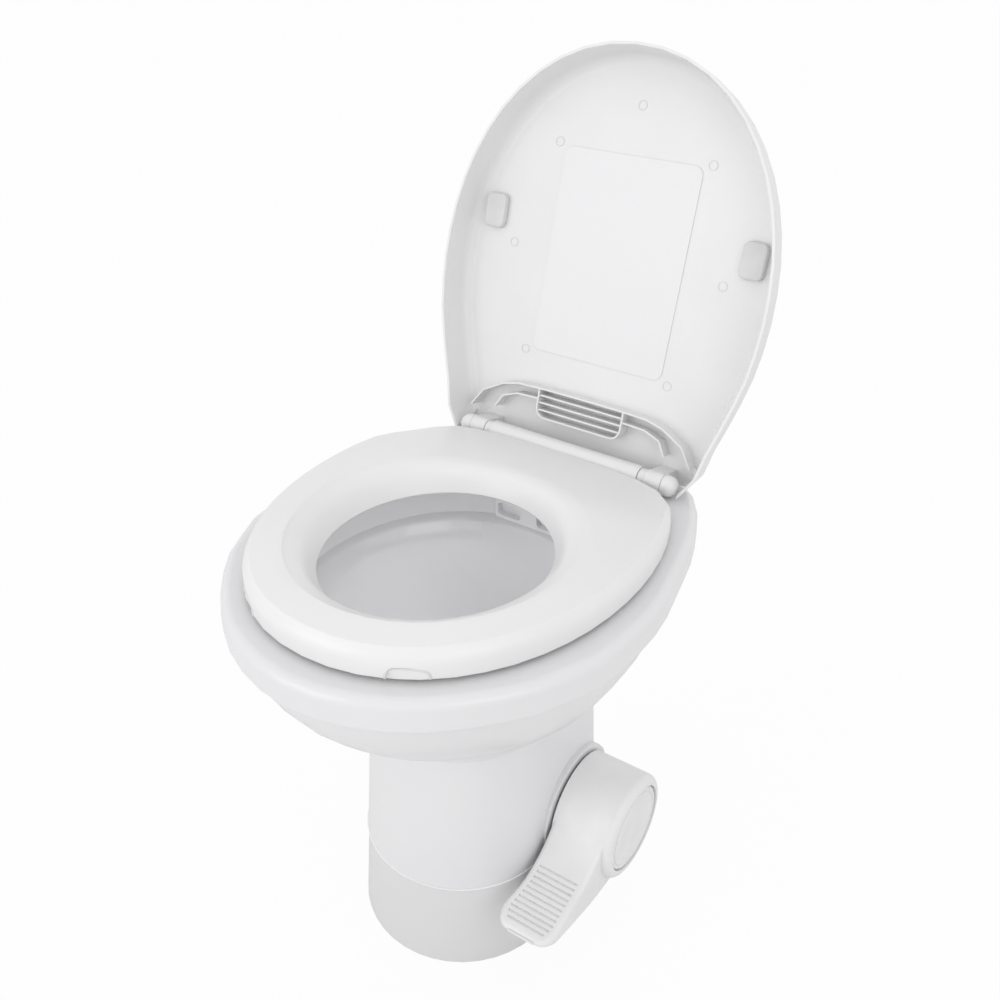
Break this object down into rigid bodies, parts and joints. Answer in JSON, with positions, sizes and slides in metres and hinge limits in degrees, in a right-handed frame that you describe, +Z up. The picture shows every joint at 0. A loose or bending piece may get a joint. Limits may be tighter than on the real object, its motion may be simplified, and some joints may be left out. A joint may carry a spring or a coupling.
{
  "type": "portable toilet",
  "caption": "White gravity-flush camping toilet on a pedestal, with a hinged seat and lid, and a side foot pedal that turns the flush blade and opens the water valve.",
  "frame": {"origin": "on the floor, on the axis of the discharge pipe, under the middle of the pedestal", "axes": "+Z up, -Y towards the front of the bowl, +X towards the pedal side"},
  "size_m": [0.372, 0.5195, 0.8047],
  "materials": {
    "base_skirt": "gloss white plastic",
    "bowl_liner": "gloss white plastic, polished",
    "bowl_skirt": "gloss white plastic",
    "breaker_body": "black moulded plastic",
    "breaker_poppet": "grey moulded plastic",
    "floor_bolt_left": "plated steel",
    "floor_bolt_right": "plated steel",
    "floor_gasket": "black rubber",
    "floor_nut_left": "plated steel",
    "floor_nut_right": "plated steel",
    "flush_valve": "grey moulded plastic",
    "hinge_cap_left": "gloss white plastic",
    "hinge_cap_right": "gloss white plastic",
    "hinge_nut_left": "white moulded plastic",
    "hinge_nut_right": "white moulded plastic",
    "hinge_pin_left": "plated steel",
    "hinge_pin_right": "plated steel",
    "hinge_post_left": "gloss white plastic",
    "hinge_post_right": "gloss white plastic",
    "inlet_nut": "black moulded plastic",
    "lid": "gloss white plastic",
    "lid_bumper_left": "soft white rubber",
    "lid_bumper_right": "soft white rubber",
    "lid_label": "blank white film",
    "outlet_seal": "black rubber",
    "pedal": "gloss white plastic",
    "pedal_cap": "gloss white plastic",
    "pedal_screw": "plated steel",
    "pedal_shaft": "machined steel",
    "pedestal_shell": "gloss white plastic",
    "pivot_pin": "machined steel",
    "push_rod": "machined steel",
    "return_spring": "spring steel wire",
    "rim_cover": "gloss white plastic",
    "rinse_spout": "gloss white plastic",
    "rinse_tube": "black hose",
    "seat_bumper_front_left": "soft white rubber",
    "seat_bumper_front_right": "soft white rubber",
    "seat_bumper_rear_left": "soft white rubber",
    "seat_bumper_rear_right": "soft white rubber",
    "seat_ring": "gloss white plastic",
    "shaft_bush": "grey moulded plastic",
    "supply_tube": "black hose",
    "valve_body": "grey moulded plastic",
    "water_valve": "black moulded plastic"
  },
  "bodies": {
    "stand": {"base_skirt": "base_skirt", "bowl_liner": "bowl_liner", "bowl_skirt": "bowl_skirt", "breaker_body": "breaker_body", "floor_bolt_left": "floor_bolt_left", "floor_bolt_right": "floor_bolt_right", "floor_gasket": "floor_gasket", "floor_nut_left": "floor_nut_left", "floor_nut_right": "floor_nut_right", "hinge_nut_left": "hinge_nut_left", "hinge_nut_right": "hinge_nut_right", "hinge_pin_left": "hinge_pin_left", "hinge_pin_right": "hinge_pin_right", "hinge_post_left": "hinge_post_left", "hinge_post_right": "hinge_post_right", "outlet_seal": "outlet_seal", "pedestal_shell": "pedestal_shell", "pivot_pin": "pivot_pin", "return_spring": "return_spring", "rim_cover": "rim_cover", "rinse_spout": "rinse_spout", "rinse_tube": "rinse_tube", "shaft_bush": "shaft_bush", "supply_tube": "supply_tube", "valve_body": "valve_body", "water_valve": "water_valve"},
    "pedal_group": {"pedal": "pedal", "pedal_cap": "pedal_cap", "pedal_screw": "pedal_screw", "pedal_shaft": "pedal_shaft", "flush_valve": "flush_valve"},
    "rod": {"push_rod": "push_rod"},
    "poppet": {"breaker_poppet": "breaker_poppet"},
    "swivel_nut": {"inlet_nut": "inlet_nut"},
    "seat": {"seat_ring": "seat_ring", "seat_bumper_front_left": "seat_bumper_front_left", "seat_bumper_front_right": "seat_bumper_front_right", "seat_bumper_rear_left": "seat_bumper_rear_left", "seat_bumper_rear_right": "seat_bumper_rear_right"},
    "cover": {"lid": "lid", "lid_label": "lid_label", "lid_bumper_left": "lid_bumper_left", "lid_bumper_right": "lid_bumper_right", "hinge_cap_left": "hinge_cap_left", "hinge_cap_right": "hinge_cap_right"}
  },
  "joints": [
    {"name": "lid_hinge", "type": "hinge", "parent": "stand", "child": "cover", "pos_m": [0, 0.1337, 0.4407], "axis": [-1, 0, 0], "range_deg": [-105.4, 0]},
    {"name": "seat_hinge", "type": "hinge", "parent": "stand", "child": "seat", "pos_m": [0, 0.1337, 0.4407], "axis": [-1, 0, 0], "range_deg": [0, 95]},
    {"name": "pedal_hinge", "type": "hinge", "parent": "stand", "child": "pedal_group", "pos_m": [0, 0.022, 0.123], "axis": [1, 0, 0], "range_deg": [0, 24], "stiffness_Nm_per_rad": 6, "springref_deg": -14.32},
    {"name": "rod_slide", "type": "slide", "parent": "stand", "child": "rod", "axis": [0, 0, 1], "range_m": [0, 0.0101]},
    {"name": "poppet_slide", "type": "slide", "parent": "stand", "child": "poppet", "axis": [0, 0, 1], "range_m": [0, 0.02]},
    {"name": "nut_turn", "type": "hinge", "parent": "stand", "child": "swivel_nut", "pos_m": [0.015, 0.116, 0.174], "axis": [0, 1, 0], "continuous": true}
  ],
  "couplings": [
    {"joint": "rod_slide", "follows": "pedal_hinge", "m_per_rad": 0.024}
  ]
}
